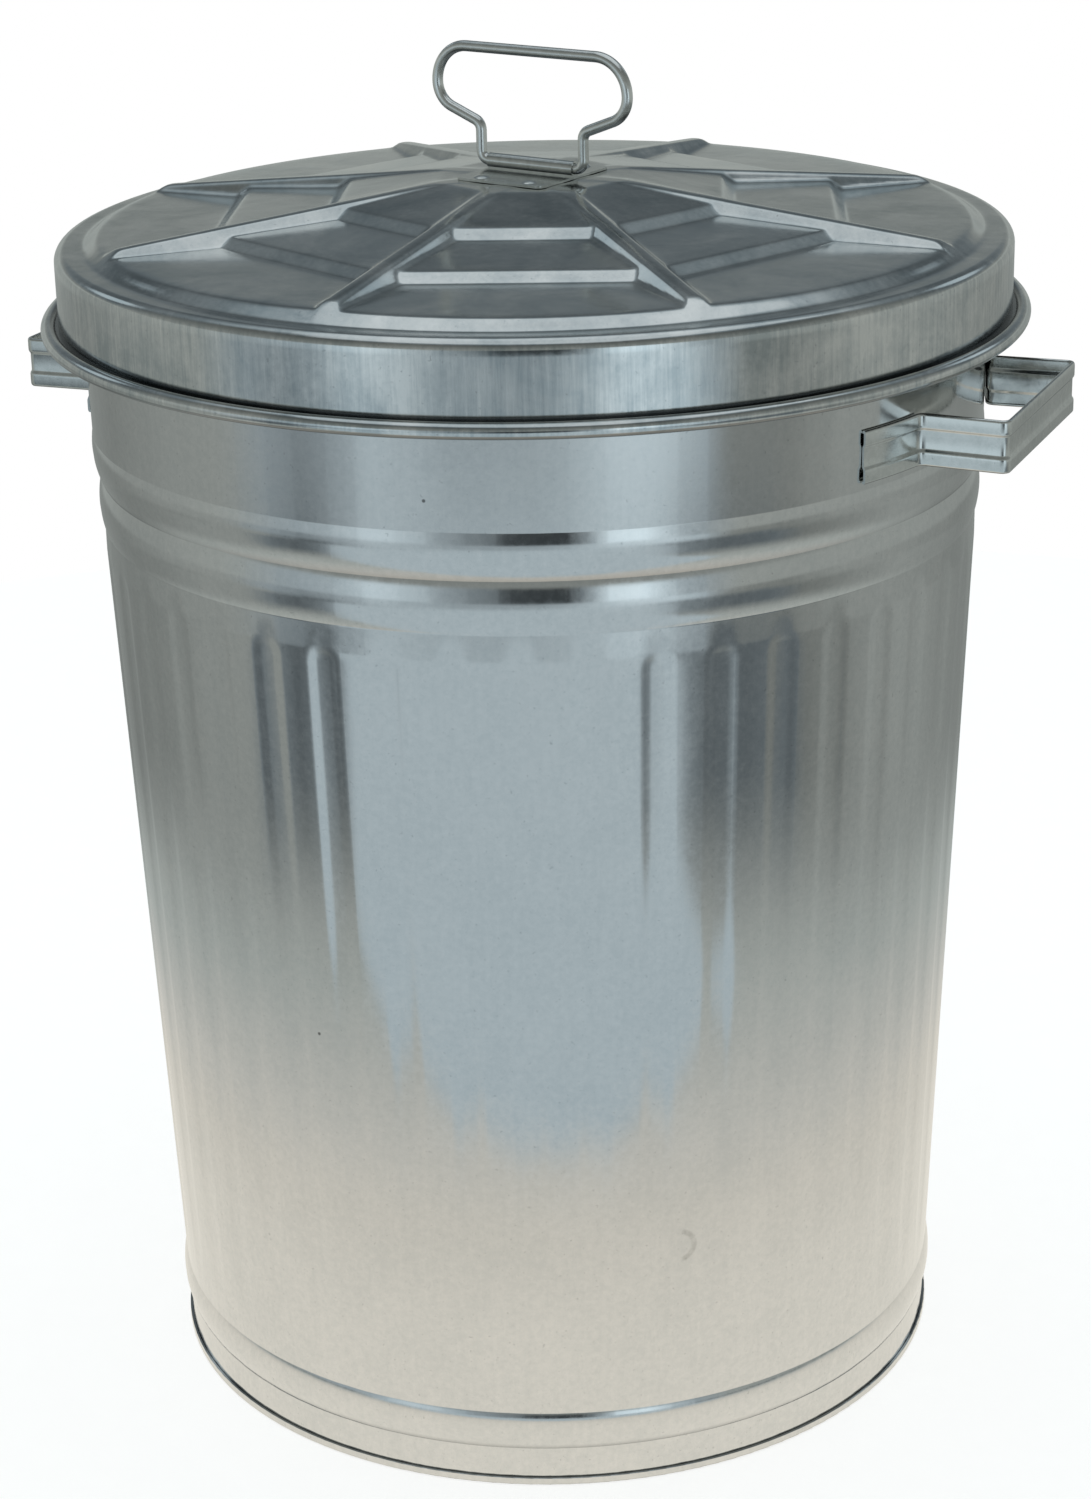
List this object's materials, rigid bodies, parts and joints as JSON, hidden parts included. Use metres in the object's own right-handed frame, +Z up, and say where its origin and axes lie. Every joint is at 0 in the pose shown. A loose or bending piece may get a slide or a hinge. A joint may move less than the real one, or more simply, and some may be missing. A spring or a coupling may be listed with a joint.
{
  "type": "trash can",
  "caption": "Fluted galvanized steel trash can with two side handles and a ribbed lift-off lid with a wire bail handle.",
  "frame": {"origin": "centre of the base at the level the can stands on", "axes": "+Z up along the can's axis, +X through the right side handle, -Y towards the viewer's side"},
  "size_m": [0.464, 0.4356, 0.6066],
  "materials": {
    "galvanized_can": "satin",
    "galvanized_lid": "satin",
    "galvanized_strap": "satin",
    "zinc_wire": "satin"
  },
  "bodies": {
    "can": {"body_shell": "galvanized_can", "bottom_pan": "galvanized_can", "rim_wire": "zinc_wire", "side_handle_right": "galvanized_strap", "side_handle_left": "galvanized_strap"},
    "lid": {"lid_shell": "galvanized_lid", "lid_lip_wire": "zinc_wire", "bail_strap": "galvanized_strap", "strap_rivets": "zinc_wire"},
    "bail": {"lid_bail": "zinc_wire"}
  },
  "joints": [
    {"name": "lid_lift", "type": "slide", "parent": "can", "child": "lid", "axis": [0, 0, 1], "range_m": [0, 0.3]},
    {"name": "bail_swing", "type": "hinge", "parent": "lid", "child": "bail", "pos_m": [0, 0, 0.55528], "axis": [0.9796, -0.2011, 0], "range_deg": [-88, 88]}
  ]
}
